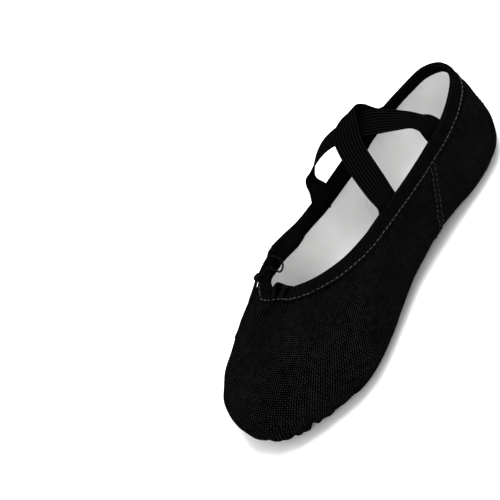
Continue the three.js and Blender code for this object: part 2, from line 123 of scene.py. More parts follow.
# The tape stands away from the wall on the right, where it is pulled round: u, distance at its inner edge.
FLARE = [
    (0.545, 0), (0.575, 1), (0.6, 2), (0.62, 3.2), (0.635, 4.2), (0.65, 5.2), (0.665, 6), (0.68, 5.7),
    (0.695, 5), (0.715, 2.6), (0.8, 2), (0.84, 0),
]
CORD_RADIUS = 0.48
CORD_SIDES = 10
THREAD_RADIUS = 0.2
STITCH_LENGTH = 2.0
STITCH_PITCH = 2.65
STITCH_RINGS = 7
STITCH_SIDES = 6
RIBS = 9
RIB_HEIGHT = 0.26
STRAP_THICK = 1.0
TAB_SHOWN = 5.2 # the rest of each elastic's end is under the tape
STRAP_SPREAD = {"a": 0.45, "b": 0.3} # share by which each elastic is pulled wide where the two cross
STRAP_CROSSING = 0.44 # share of the way along each elastic


# ---------------------------------------------------------------- curves
def catmull_rom(a, b, c, d, w):
    return 0.5 * (2 * b + (c - a) * w + (2 * a - 5 * b + 4 * c - d) * w**2 + (3 * b - a - 3 * c + d) * w**3)


def closed_curve(points, u):
    """A closed Catmull-Rom curve through the points, at the shares u of the way round."""
    points = np.asarray(points, float)
    count = len(points)
    place = (np.asarray(u, float) % 1) * count
    i = np.floor(place).astype(int)
    w = (place - i)[..., None]
    return catmull_rom(*(points[(i + k) % count] for k in (-1, 0, 1, 2)), w)


def open_curve(points, count):
    """A Catmull-Rom curve through the points, cut into equal steps of its parameter."""
    points = np.asarray(points, float)
    padded = np.vstack([2 * points[0] - points[1], points, 2 * points[-1] - points[-2]])
    place = np.linspace(0, len(points) - 1, count)
    i = np.minimum(np.floor(place).astype(int), len(points) - 2)
    w = (place - i)[:, None]
    return catmull_rom(*(padded[i + k] for k in range(4)), w)


def mirrored_loop(half):
    """A closed outline from its left half; points without a height get 0."""
    side = np.array([(*point, 0.0)[:3] for point in half], float)
    return np.vstack([side, side[1:-1][::-1] * MIRROR])


OUTLINE = mirrored_loop(OUTLINE_HALF)
TOPLINE = mirrored_loop(TOPLINE_HALF)


def lerp(a, b, t):
    return a + (b - a) * t


def hill(x, middle, spread):
    return np.exp(-(((x - middle) / spread) ** 2))


def smooth(t):
    t = np.clip(t, 0, 1)
    return t * t * (3 - 2 * t)


def step01(low, high, x):
    return smooth((x - low) / (high - low))


def unit(v):
    return v / np.maximum(np.linalg.norm(v, axis=-1, keepdims=True), 1e-9)


def paired(a, b):
    return np.stack(np.broadcast_arrays(a, b), -1)


def inset_curve(loop, u, inset, step):
    """x and y on a closed curve moved inward; step is the share over which its direction is taken."""
    p = closed_curve(loop, u)
    along = unit(closed_curve(loop, u + step) - closed_curve(loop, u - step))
    return p[..., 0] + along[..., 1] * inset, p[..., 1] - along[..., 0] * inset


def path_lengths(path):
    return np.concatenate([[0], np.cumsum(np.linalg.norm(np.diff(path, axis=0), axis=1))])


def along_path(at, lengths, values):
    """Each column of the values, read at the lengths asked for."""
    return np.stack([np.interp(at, lengths, column) for column in values.T], -1)


def even_steps(path, count):
    """The same path with its points at equal distances."""
    lengths = path_lengths(path)
    return along_path(np.linspace(0, lengths[-1], count), lengths, path)


def headings(path, closed=False):
    """The unit direction of a path at each of its points."""
    before = np.roll(path, 1, 0) if closed else np.vstack([path[:1], path[:-1]])
    after = np.roll(path, -1, 0) if closed else np.vstack([path[1:], path[-1:]])
    return unit(after - before)


# ---------------------------------------------------------------- the upper's surface
def sole_height(y):
    return PAD + GAP + ARCH_RISE * hill(y, ARCH_Y, ARCH_SPREAD)


def girth_point(u):
    p = closed_curve(OUTLINE, u)
    toward_toe = np.clip((-p[..., 1] - 40) / 63, 0, 1)
    p[..., 2] = sole_height(p[..., 1]) + lerp(GIRTH_Z, GIRTH_TOE_Z, toward_toe)
    return p


def rim_point(u):
    x, y = inset_curve(OUTLINE, u, SOLE_INSET, 0.002)
    return np.stack([x, y, sole_height(y)], -1)


def throat_pull(u, v):
    """The tied drawstring draws the right of the throat up and outward, so its edge stands on end."""
    u = u % 1
    to_end = step01(0.55, 0.65, u)
    start = lerp(0.5, 0.72, step01(0.57, 0.64, u))
    share = step01(0.505, 0.555, u) * (1 - step01(0.64, 0.72, u)) * step01(start, 1, v)
    pull = np.stack([np.full(u.shape, -7.4), lerp(-6.5, -2, to_end), lerp(0, 1.5, to_end)], -1)
    return pull * share[..., None]


def upper_point(u, v):
    u, v = np.broadcast_arrays(np.asarray(u, float), np.asarray(v, float))
    rim = rim_point(u)
    girth = girth_point(u)
    top = closed_curve(TOPLINE, u)
    centre = np.stack([np.zeros(u.shape), np.clip(rim[..., 1], -45, 80), np.zeros(u.shape)], -1)
    under = lerp(rim, centre, np.clip(-v, 0, 1)[..., None])
    under[..., 2] = sole_height(under[..., 1])
    angle = np.clip(v / GIRTH_V, 0, 1) * math.pi / 2
    turn = lerp(rim, girth, np.sin(angle)[..., None])
    turn[..., 2] = lerp(rim[..., 2], girth[..., 2], 1 - np.cos(angle))
    angle = np.maximum((v - GIRTH_V) / (1 - GIRTH_V), 0) * WALL_ANGLE
    inward = (1 - np.cos(angle) ** WALL_POWER) / (1 - math.cos(WALL_ANGLE) ** WALL_POWER)
    wall = lerp(girth, top, inward[..., None])
    wall[..., 2] = lerp(girth[..., 2], top[..., 2], (np.sin(angle) / math.sin(WALL_ANGLE)) ** WALL_POWER)
    wall = wall + throat_pull(u, v)
    v = v[..., None]
    return np.where(v < 0, under, np.where(v < GIRTH_V, turn, wall))


def upper_normal(u, v):
    along = upper_point(u + 0.002, v) - upper_point(u - 0.002, v)
    up = upper_point(u, v + 0.004) - upper_point(u, v - 0.004)
    return unit(np.cross(up, along))


def upper(u, v, out):
    """Points on the upper, lifted `out` along its normal; negative is inward."""
    return upper_point(u, v) + upper_normal(u, v) * np.asarray(out, float)[..., None]


DOWN_COLUMNS = 720
DOWN_STEP = 0.25
DOWN_ROWS = 240


def down_table():
    """For each column round the slipper, the v that lies each distance down from the top edge."""
    v = np.linspace(1, 0, 201)
    u = np.arange(DOWN_COLUMNS) / DOWN_COLUMNS
    lengths = [path_lengths(column) for column in upper_point(u[:, None], v)]
    distances = np.arange(DOWN_ROWS) * DOWN_STEP
    return np.stack([np.interp(distances, row, v) for row in lengths])


DOWN = down_table()


def down(u, below):
    u, below = np.broadcast_arrays(np.asarray(u, float) % 1, np.asarray(below, float))
    column = u * DOWN_COLUMNS
    row = np.clip(below / DOWN_STEP, 0, DOWN_ROWS - 1.001)
    i = np.floor(column).astype(int) % DOWN_COLUMNS
    j = np.floor(row).astype(int)
    a = column - np.floor(column)
    b = row - j
    k = (i + 1) % DOWN_COLUMNS
    near = lerp(DOWN[i, j], DOWN[i, j + 1], b)
    far = lerp(DOWN[k, j], DOWN[k, j + 1], b)
    return lerp(near, far, a)


def on_wall(u, below, out):
    return upper(u, down(u, below), out)


def seam_u(v):
    return np.where(v >= 0, lerp(SEAM_RIM_U, SEAM_TOP_U, v), lerp(SEAM_RIM_U, SEAM_SOLE_U, -v))


def row_v(row, u):
    """The rows are squeezed so that row 1 ends below the drawstring's casing."""
    top = down(u, CASING)
    return np.where(row <= GIRTH_V, row, lerp(GIRTH_V, top, (row - GIRTH_V) / (1 - GIRTH_V)))


# ---------------------------------------------------------------- meshes
def grid_faces(wide, high, start=0, closed_wide=False, closed_high=False):
    i = np.arange(wide if closed_wide else wide - 1)
    j = np.arange(high if closed_high else high - 1)
    i, j = np.meshgrid(i, j, indexing="ij")
    i2 = (i + 1) % wide
    j2 = (j + 1) % high
    quads = np.stack([i * high + j, i2 * high + j, i2 * high + j2, i * high + j2], -1)
    return (start + quads.reshape(-1, 4)).tolist()


def corner_points(mesh):
    """The number of the point at each corner of each face."""
    index = np.empty(len(mesh.loops), int)
    mesh.loops.foreach_get("vertex_index", index)
    return index


def make_piece(name, points, faces, material, uv=None):
    """A smooth mesh from points in millimetres. uv is one pair for each point."""
    mesh = bpy.data.meshes.new(name)
    mesh.from_pydata((np.asarray(points) * MM).tolist(), [], faces)
    if uv is not None:
        layer = mesh.uv_layers.new(name="UVMap")
        layer.data.foreach_set("uv", np.asarray(uv, np.float32)[corner_points(mesh)].ravel())
    work = bmesh.new()
    work.from_mesh(mesh)
    bmesh.ops.recalc_face_normals(work, faces=work.faces)
    work.to_mesh(mesh)
    work.free()
    mesh.polygons.foreach_set("use_smooth", [True] * len(mesh.polygons))
    mesh.materials.append(material)
    obj = bpy.data.objects.new(name, mesh)
    bpy.context.scene.collection.objects.link(obj)
    return obj


def sheet_piece(name, outer, inner, uv, material):
    """A sheet of fabric from its two skins, each a grid of points, closed round the edges."""
    wide, high = outer.shape[:2]
    size = wide * high
    points = np.concatenate([outer.reshape(-1, 3), inner.reshape(-1, 3)])
    faces = grid_faces(wide, high) + grid_faces(wide, high, size)
    border = [(i, 0) for i in range(wide)] + [(wide - 1, j) for j in range(1, high)]
    border += [(i, high - 1) for i in range(wide - 2, -1, -1)] + [(0, j) for j in range(high - 2, 0, -1)]
    ring = [i * high + j for i, j in border]
    for a, b in zip(ring, ring[1:] + ring[:1]):
        faces.append([a, b, b + size, a + size])
    both = np.concatenate([uv.reshape(-1, 2)] * 2)
    return make_piece(name, points, faces, material, both)


def loft_piece(name, sections, material, uv=None, closed=False):
    """A body through closed sections, shaped (stations, points round, 3)."""
    wide, high = sections.shape[:2]
    faces = grid_faces(wide, high, closed_wide=closed, closed_high=True)
    if not closed:
        faces.append(list(range(high)))
        faces.append(list(range((wide - 1) * high, wide * high)))
    flat = None if uv is None else uv.reshape(-1, 2)
    return make_piece(name, sections.reshape(-1, 3), faces, material, flat)


def path_frames(path, closed):
    """Two side directions at each point of a path, turning as little as they can."""
    along = headings(path, closed)
    side = np.array((1.0, 0.0, 0.0) if abs(along[0, 2]) > 0.9 else (0.0, 0.0, 1.0))
    sides = []
    for direction in along:
        side = unit(side - direction * (side @ direction))
        sides.append(side)
    sides = np.array(sides)
    return sides, np.cross(along, sides)


def tube_sections(path, radii, count, closed=False):
    side, other = path_frames(path, closed)
    angle = np.arange(count) / count * 2 * math.pi
    radii = np.broadcast_to(radii, len(path))[:, None, None]
    ring = np.cos(angle)[None, :, None] * side[:, None] + np.sin(angle)[None, :, None] * other[:, None]
    return path[:, None] + ring * radii


def cord_piece(name, path, radius, material, closed=False):
    """A round cord with rounded ends; its uv runs round it and along it in millimetres."""
    length = path_lengths(path)
    radii = np.full(len(path), float(radius))
    if not closed:
        end = np.minimum(length, length[-1] - length) / radius
        radii = radius * np.sqrt(np.clip(1 - (1 - np.clip(end, 0.05, 1)) ** 2, 0, 1))
    sections = tube_sections(path, radii, CORD_SIDES, closed)
    around = np.arange(CORD_SIDES) / CORD_SIDES
    uv = paired(around[None, :], length[:, None])
    return loft_piece(name, sections, material, uv, closed)


def stitch_points(points, normals, tilt):
    """One stitch along a few points: it rises from the fabric, lies on it and goes back in."""
    share = np.linspace(-1, 1, STITCH_RINGS)
    across = unit(np.cross(normals, unit(points[-1:] - points[:1])))
    lift = THREAD_RADIUS * (1.1 - 2.6 * np.abs(share) ** 3)
    line = points + normals * lift[:, None] + across * (share * tilt[0] + tilt[1])[:, None]
    return tube_sections(line, THREAD_RADIUS * np.sqrt(1 - 0.6 * share**4), STITCH_SIDES)


def stitch_row(name, path, normals, material, closed=False, pitch=STITCH_PITCH, length=STITCH_LENGTH,
               jitter=0.0, seed=1):
    """Separate stitches along a path."""
    random = np.random.default_rng(seed)
    if closed:
        path = np.vstack([path, path[:1]])
        normals = np.vstack([normals, normals[:1]])
    lengths = path_lengths(path)
    count = int((lengths[-1] + (0 if closed else pitch - length)) / pitch)
    step = lengths[-1] / count if closed else pitch
    size = STITCH_RINGS * STITCH_SIDES
    points = []
    faces = []
    for k in range(count):
        tilt = random.uniform(-jitter, jitter, 2)
        at = np.clip((k + 0.5) * step + np.linspace(-length, length, STITCH_RINGS) / 2, 0, lengths[-1])
        line = along_path(at, lengths, path)
        points.append(stitch_points(line, unit(along_path(at, lengths, normals)), tilt).reshape(-1, 3))
        start = k * size
        faces += grid_faces(STITCH_RINGS, STITCH_SIDES, start, closed_high=True)
        faces.append(list(range(start, start + STITCH_SIDES)))
        faces.append(list(range(start + size - STITCH_SIDES, start + size)))
    return make_piece(name, np.concatenate(points), faces, material)


def waves(x, y, wavelength, seed, count=6):
    """Smooth made-up unevenness between about -1 and 1, the same at every run."""
    random = np.random.default_rng(seed)
    total = np.zeros(np.broadcast(x, y).shape)
    for _ in range(count):
        heading = random.uniform(0, 2 * math.pi)
        phase = random.uniform(0, 2 * math.pi)
        turn = 2 * math.pi / (wavelength * random.uniform(0.7, 1.5))
        total = total + np.sin((x * math.cos(heading) + y * math.sin(heading)) * turn + phase)
    return total / math.sqrt(count)


# ---------------------------------------------------------------- materials
class Finish:
    """A material whose node tree is built up from small steps."""

    def __init__(self, name, roughness, specular=0.1, sheen=0.0):
        self.material = bpy.data.materials.new(name)
        self.material.use_nodes = True
        self.tree = self.material.node_tree
        self.shader = self.tree.nodes["Principled BSDF"]
        self.shader.inputs["Roughness"].default_value = roughness
        self.shader.inputs["Specular IOR Level"].default_value = specular
        self.shader.inputs["Sheen Weight"].default_value = sheen

    def node(self, kind, **settings):
        made = self.tree.nodes.new(kind)
        for key, value in settings.items():
            setattr(made, key, value)
        return made

    def put(self, socket, value):
        if isinstance(value, bpy.types.NodeSocket):
            self.tree.links.new(value, socket)
        else:
            socket.default_value = (*value, 1) if isinstance(value, tuple) else value

    def calc(self, operation, a, b=0.0, c=0.0):
        made = self.node("ShaderNodeMath", operation=operation)
        for socket, value in zip(made.inputs, (a, b, c)):
            self.put(socket, value)
        return made.outputs[0]

    def times(self, a, b):
        return self.calc("MULTIPLY", a, b)

    def place(self, kind):
        """The texture coordinates of that kind, such as UV or Object."""
        return self.node("ShaderNodeTexCoord").outputs[kind]

    def parts(self, vector):
        made = self.node("ShaderNodeSeparateXYZ")
        self.put(made.inputs[0], vector)
        return made.outputs[0], made.outputs[1], made.outputs[2]

    def joined(self, x, y, z=0.0):
        made = self.node("ShaderNodeCombineXYZ")
        for socket, value in zip(made.inputs, (x, y, z)):
            self.put(socket, value)
        return made.outputs[0]

    def noise(self, vector, scale, detail=3.0):
        made = self.node("ShaderNodeTexNoise")
        self.put(made.inputs["Vector"], vector)
        made.inputs["Scale"].default_value = scale
        made.inputs["Detail"].default_value = detail
        made.inputs["Roughness"].default_value = 0.55
        return made.outputs["Fac"]

    def span(self, value, low, high, new_low, new_high):
        made = self.node("ShaderNodeMapRange")
        for socket, entry in zip(made.inputs, (value, low, high, new_low, new_high)):
            self.put(socket, entry)
        return made.outputs[0]

    def mixed(self, share, a, b):
        made = self.node("ShaderNodeMix", data_type="RGBA")
        for k, value in ((0, share), (6, a), (7, b)):
            self.put(made.inputs[k], value)
        return made.outputs[2]

    def colour(self, value):
        self.put(self.shader.inputs["Base Color"], value)

    def bump(self, *layers):
        """Each layer is (height, distance in metres, strength)."""
        normal = None
        for height, distance, strength in layers:
            made = self.node("ShaderNodeBump")
            made.inputs["Strength"].default_value = strength
            made.inputs["Distance"].default_value = distance
            self.put(made.inputs["Height"], height)
            if normal is not None:
                self.put(made.inputs["Normal"], normal)
            normal = made.outputs[0]
        self.put(self.shader.inputs["Normal"], normal)

    def weave(self, pitch, slack=0.12, weft_share=1.0):
        """Height of a plain weave over the uv, its threads `pitch` mm wide. weft_share sinks the weft."""
        uv = self.place("UV")
        x, y, _ = self.parts(uv)
        drift = self.span(self.noise(uv, 0.25, 1.0), 0, 1, -slack, slack)
        drift_y = self.span(self.noise(self.joined(y, x, 7.0), 0.25, 1.0), 0, 1, -slack, slack)
        x = self.calc("DIVIDE", self.calc("ADD", x, drift), pitch)
        y = self.calc("DIVIDE", self.calc("ADD", y, drift_y), pitch)
        round_x, round_y = (self.calc("ABSOLUTE", self.calc("SINE", self.times(a, math.pi))) for a in (x, y))
        warp_number = self.calc("FLOOR", x)
        weft_number = self.calc("FLOOR", y)
        cells = self.calc("ADD", warp_number, weft_number)
        over = self.calc("MULTIPLY_ADD", self.calc("FLOORED_MODULO", cells, 2.0), 2.0, -1.0)
        lift_x = self.calc("MULTIPLY_ADD", self.times(over, round_y), 0.45, 0.55)
        lift_y = self.calc("MULTIPLY_ADD", self.times(over, round_x), -0.45, 0.55)
        slub_x = self.noise(self.joined(warp_number, y), 0.35, 1.0)
        slub_y = self.noise(self.joined(x, weft_number, 5.0), 0.35, 1.0)
        thick_x = self.span(slub_x, 0.3, 0.7, 0.8, 1.1)
        thick_y = self.span(slub_y, 0.3, 0.7, 0.8, 1.1)
        warp = self.times(self.times(round_x, lift_x), thick_x)
        weft = self.times(self.times(round_y, lift_y), thick_y)
        return self.calc("MAXIMUM", warp, self.times(weft, weft_share))


def canvas_finish():
    f = Finish("black_canvas", 0.8, 0.0)
    height = f.weave(1.05, weft_share=0.85)
    blotch = f.noise(f.place("UV"), 0.05, 3.0)
    # Painted highlight and painted shade: the weave's thread tops are painted lighter and the hollows between
    # threads darker, times a random blotchy tone.
    shade = f.times(f.span(height, 0.5, 0.9, 0.0, 1.0), f.span(blotch, 0.3, 0.7, 0.6, 1.0))
    f.colour(f.mixed(shade, (0.0, 0.0, 0.0), (0.0155, 0.0155, 0.0158)))
    f.bump((height, 0.0006, 1.0))
    return f.material


def lining_finish():
    f = Finish("white_cotton", 0.9, 0.2, sheen=0.1)
    height = f.weave(0.35)
    blotch = f.noise(f.place("UV"), 0.06, 2.0)
    f.colour(f.mixed(f.span(blotch, 0.3, 0.7, 0.0, 1.0), (0.76, 0.76, 0.755), (0.82, 0.82, 0.815)))
    f.bump((height, 0.00012, 0.7))
    return f.material


def tape_finish():
    f = Finish("black_tape", 0.8, 0.0)
    height = f.weave(0.95, 0.08)
    # Painted highlight and painted shade: the thread tops are painted lighter and the hollows between threads
    # darker.
    f.colour(f.mixed(f.span(height, 0.45, 0.85, 0.0, 1.0), (0.0, 0.0, 0.0), (0.0052, 0.0052, 0.0054)))
    f.bump((height, 0.0004, 0.9))
    return f.material


PLIES = 3
CORD_TURNS_PER_MM = 0.5


def cord_finish():
    """Cord twisted from its plies, from the uv round and along it."""
    f = Finish("black_cord", 0.8, 0.03)
    around, along, _ = f.parts(f.place("UV"))
    turn = f.calc("MULTIPLY_ADD", along, CORD_TURNS_PER_MM, around)
    ply = f.calc("MULTIPLY_ADD", f.calc("SINE", f.times(turn, 2 * math.pi * PLIES)), 0.5, 0.5)
    # Painted highlight and painted shade: the plies' crowns are painted lighter and the grooves between them
    # darker.
    f.colour(f.mixed(ply, (0.0003, 0.0003, 0.0003), (0.004, 0.004, 0.0042)))
    f.bump((ply, 0.0002, 1.0))
    return f.material


def thread_finish(name, dark, light, specular=0.2):
    f = Finish(name, 0.6, specular)
    grain = f.noise(f.place("Object"), 700.0, 3.0)
    f.colour(f.mixed(f.span(grain, 0.35, 0.65, 0.0, 1.0), (dark, dark, dark), (light, light, light * 1.03)))
    return f.material


def suede_finish():
    f = Finish("black_suede", 1.0, 0.08, sheen=0.12)
    coarse = f.noise(f.place("Object"), 220.0, 4.0)
    fine = f.noise(f.place("Object"), 1800.0, 3.0)
    f.colour(f.mixed(f.span(coarse, 0.3, 0.7, 0.0, 1.0), (0.005, 0.005, 0.005), (0.014, 0.0135, 0.013)))
    f.bump((coarse, 0.0003, 0.5), (fine, 0.00015, 0.7))
    return f.material


def elastic_finish():
    f = Finish("black_elastic", 0.7, 0.0)
    x, y, _ = f.parts(f.place("UV"))
    knit = f.calc("SINE", f.times(y, 2 * math.pi / 0.75))
    rib = f.calc("COSINE", f.times(x, 2 * math.pi / 0.7))
    height = f.calc("MULTIPLY_ADD", f.times(knit, rib), 0.5, 0.5)
    cord = f.calc("ABSOLUTE", f.calc("COSINE", f.times(x, math.pi * RIBS / STRAP_WIDTH)))
    # Painted shade: darker in the grooves between the ribs and between the knit's loops, lighter on their
    # tops.
    shade = f.times(f.span(cord, 0.35, 0.95, 0.0, 1.0), f.span(height, 0.0, 1.0, 0.5, 1.0))
    f.colour(f.mixed(shade, (0.0, 0.0, 0.0), (0.0042, 0.0042, 0.0044)))
    f.bump((height, 0.00012, 0.8))
    return f.material


def footbed_finish():
    f = Finish("footbed_cotton", 0.9, 0.2, sheen=0.1)
    height = f.weave(0.3)
    f.colour((0.85, 0.85, 0.845))
    f.bump((height, 0.0001, 0.6))
    return f.material


MARK_CENTRE = (0.0, 66.0)
MARK_HALF = (6.5, 11.0)


def sock_finish():
    """White fabric with one plain oval line on it, in place of any maker's print."""
    f = Finish("sock_fabric", 0.85, 0.2, sheen=0.1)
    height = f.weave(0.3)
    x, y, _ = f.parts(f.place("UV"))
    across = f.calc("DIVIDE", f.calc("SUBTRACT", x, MARK_CENTRE[0]), MARK_HALF[0])
    along = f.calc("DIVIDE", f.calc("SUBTRACT", y, MARK_CENTRE[1]), MARK_HALF[1])
    squares = f.calc("MULTIPLY_ADD", across, across, f.times(along, along))
    radius = f.calc("SQRT", squares)
    line = f.calc("LESS_THAN", f.calc("ABSOLUTE", f.calc("SUBTRACT", radius, 1.0)), 0.035)
    f.colour(f.mixed(line, (0.9, 0.9, 0.895), (0.22, 0.22, 0.23)))
    f.bump((height, 0.0001, 0.5))
    return f.material


CANVAS = canvas_finish()
LINING = lining_finish()
TAPE = tape_finish()
CORD = cord_finish()
# Painted highlight: this thread is painted a light grey that stands for the light caught by the black thread.
THREAD = thread_finish("thread_painted_highlight", 0.006, 0.07)
SEAM_THREAD = thread_finish("seam_thread", 0.002, 0.012)
TACK_THREAD = thread_finish("black_thread", 0.0002, 0.0015, 0.0)
SUEDE = suede_finish()
ELASTIC = elastic_finish()
FOOTBED = footbed_finish()
SOCK = sock_finish()


# ---------------------------------------------------------------- how pieces are tied to the frame
def bend(obj):
    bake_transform(obj)


def tie(obj, nodes, body=None):
    """Hides the piece's CAD parts and ties it to the body it rides on; without a body its placement is baked
    into its mesh.
    """
    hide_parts(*nodes)
    if body is None:
        bend(obj)
    else:
        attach(obj, body)


# ---------------------------------------------------------------- relief of the fabric
PLEATS = [ # u, where it ends up the wall, width in mm, depth in mm
    (0.372, 0.10, 2.2, 0.8), (0.386, 0.15, 2.6, 1.0), (0.403, 0.12, 2.2, 0.9), (0.423, 0.20, 2.0, 1.9),
    (0.434, 0.34, 2.2, 2.1), (0.447, 0.16, 1.8, 1.8), (0.458, 0.47, 2.0, 2.5), (0.469, 0.32, 1.9, 2.1),
    (0.483, 0.43, 2.1, 2.2), (0.497, 0.20, 2.0, 1.2), (0.511, 0.29, 2.4, 2.1), (0.527, 0.34, 2.4, 2.0),
    (0.549, 0.20, 2.3, 1.3), (0.571, 0.26, 2.5, 1.4), (0.594, 0.14, 2.2, 1.0), (0.618, 0.16, 2.2, 0.9),
]
PERIMETER = 540 # round the widest contour, roughly
TOP_ROUND = 520 # round the wall higher up, roughly
SEAM_ROUND = 0.8 * TOP_ROUND # the same at the seams


def pleat_relief(u, v):
    """Sharp valleys where the vamp is gathered under the toe, with soft swells between them."""
    relief = np.zeros(u.shape)
    reach = smooth((v + 0.2) / 0.15)
    for centre, top, width, depth in PLEATS:
        lean = centre + (v - 0.05) * 0.02 * math.sin(centre * 97)
        across = np.abs(u - lean) * PERIMETER
        fade = smooth((top - v) / (0.10 + top * 0.4)) * reach
        relief = relief - depth * fade * np.exp(-((across / width) ** 1.3))
        relief = relief + 0.45 * depth * fade * hill(across, 2.1 * width, 1.3 * width)
    return relief


def gather_relief(u, below):
    """Small folds that run out from under the binding, strongest at the throat."""
    throat = hill(u, 0.5, 0.075)
    along = u * TOP_ROUND
    folds = np.sin(along * 0.95 + 0.8 * np.sin(along * 0.31)) + 0.5 * np.sin(along * 1.7 + 1.3)
    near = np.exp(-np.maximum(below - BINDING_WIDTH, 0) / (5 + 4 * throat))
    return (0.16 + 0.30 * throat) * near * folds


def soft_relief(u, v, below):
    x = u * TOP_ROUND
    calm = smooth((v + 0.1) / 0.2)
    calm = calm * lerp(0.35, 1, smooth((np.abs((u % 1) - 0.5) - 0.42) / -0.12))
    big = waves(x, below, 46, 3) * 0.42
    small = waves(x, below, 17, 8) * 0.14
    heel_swell = 0.9 * hill((u + 0.5) % 1, 0.5, 0.05) * hill(below, 17, 7)
    return (big + small) * calm + heel_swell


def toe_dimple(u, v):
    """The one dimple that lies up the side of the toe, clear of the sole."""
    return 2.3 * hill(u, 0.404, 0.0075) * hill(v, 0.38, 0.12)


def puff_relief(u, below):
    """The canvas pushed up into a puff below the bow, with a crease on either side of it."""
    puff = 2.2 * hill(u, 0.555, 0.015) * hill(below, 16.5, 6)
    crease = 2.8 * hill(u, 0.531 + 0.0005 * (below - 14), 0.0050) * hill(below, 15, 6.5)
    fold = 1.4 * hill(u, 0.578, 0.006) * hill(below, 14, 6)
    return puff - crease - fold


def under_tape(below):
    """Nothing swells under the binding, which holds the cloth flat."""
    return smooth((below - 3.2) / 5.5)


def wall_relief(u, v, below):
    soft = gather_relief(u, below) + soft_relief(u, v, below)
    return pleat_relief(u, v) + soft * under_tape(below) + puff_relief(u, below) - toe_dimple(u, v)


def top_arc(u):
    """Distance along the topline from the middle of the heel."""
    table_u = np.linspace(0, 1, 721)
    lengths = path_lengths(closed_curve(TOPLINE, table_u))
    return np.interp(u, table_u, lengths)


def flattened(points):
    """A grid of points laid flat with the least stretch: uv in mm, the weave's grain along the slipper."""
    wide, high = points.shape[:2]
    start_uv = np.zeros((wide * high, 2))
    cloth = make_piece("flat_cloth", points.reshape(-1, 3), grid_faces(wide, high), CANVAS, start_uv)
    bpy.context.view_layer.objects.active = cloth
    cloth.select_set(True)
    bpy.ops.object.mode_set(mode="EDIT")
    bpy.ops.mesh.select_all(action="SELECT")
    bpy.ops.uv.unwrap(method="MINIMUM_STRETCH", iterations=20, margin=0)
    bpy.ops.object.mode_set(mode="OBJECT")
    mesh = cloth.data
    corners = np.empty(len(mesh.loops) * 2, np.float32)
    mesh.uv_layers[0].data.foreach_get("uv", corners)
    uv = np.zeros((wide * high, 2))
    uv[corner_points(mesh)] = corners.reshape(-1, 2)
    bpy.data.meshes.remove(mesh)
    uv = uv.reshape(wide, high, 2)
    middle = wide // 2
    uv = uv * path_lengths(points[middle])[-1] / path_lengths(uv[middle])[-1]
    heading = unit(uv[middle, high - 1] - uv[middle, 0])
    turn = np.array([[heading[1], heading[0]], [-heading[0], heading[1]]])
    return uv @ turn


# ---------------------------------------------------------------- canvas and lining
SEAM_ALLOWANCE = 5.2
BACK_ALLOWANCE = 4.5
SEAM_OVERLAP_U = 0.0008 # the vamp's edge goes this far behind the side seam, under the quarter
SEAM_GAP_U = 0.0004
LAYERS = ( # its name, how far out its two skins lie, its material and slot
    ("canvas", (0.0, -0.7), CANVAS, "black_canvas"),
    ("lining", (-0.85, -1.35), LINING, "white_cotton"),
)
QUARTER_RELIEF = {"canvas": 1.0, "lining": 0.6} # share of the relief that each layer shows


def panel_grid(start, end, columns, rows):
    """The u and v of a panel's points, between its two edges; each edge is one u for each row."""
    u = lerp(start, end, np.linspace(0, 1, columns)[:, None])
    return u, row_v(np.broadcast_to(rows, u.shape), u)


def below_top(u, v):
    from_top = [path_lengths(column[::-1])[::-1] for column in upper_point(u, v)]
    return np.array(from_top) + CASING


VAMP_COLUMNS = 341
VAMP_ROWS = np.concatenate([
    np.linspace(MARGIN_V, -0.06, 12), np.linspace(-0.03, 0.3, 44), np.linspace(0.31, 1, 70),
])
QUARTER_COLUMNS = 120
QUARTER_ROWS = np.concatenate([
    np.linspace(-0.985, -0.08, 16), np.linspace(-0.04, 0.3, 26), np.linspace(0.32, 1, 60),
])


def vamp_uv(u, v):
    """The vamp's flattened uv, worked out on every fourth column and row and filled in between."""
    i = np.arange(0, VAMP_COLUMNS, 4)
    j = np.append(np.arange(0, len(VAMP_ROWS) - 1, 4), len(VAMP_ROWS) - 1)
    coarse = flattened(upper_point(u[i][:, j], v[i][:, j]))
    filled = np.stack([along_path(np.arange(len(VAMP_ROWS)), j, column) for column in coarse])
    rows = [along_path(np.arange(VAMP_COLUMNS), i, filled[:, r]) for r in range(len(VAMP_ROWS))]
    return np.stack(rows, 1)


def build_vamp(layer, skins, material, slot):
    edge = seam_u(VAMP_ROWS) - SEAM_OVERLAP_U
    u, v = panel_grid(edge, 1 - edge, VAMP_COLUMNS, VAMP_ROWS)
    relief = wall_relief(u, v, below_top(u, v))
    outer, inner = (upper(u, v, out + relief) for out in skins)
    uv = vamp_uv(u, v)
    panel = sheet_piece(f"vamp_{layer}_cloth", outer, inner, uv, material)
    tie(panel, [f"vamp_{layer}"])


def seam_ridge(u, v):
    """The folded seam allowance under the quarter's front edge."""
    behind = (seam_u(v) - u) * SEAM_ROUND
    return 0.4 * smooth(behind / 0.7) * smooth((SEAM_ALLOWANCE - behind) / 0.9)


def back_ridge(u):
    behind = u * SEAM_ROUND
    return 0.35 * smooth(behind / 0.8) * smooth(BACK_ALLOWANCE - behind)


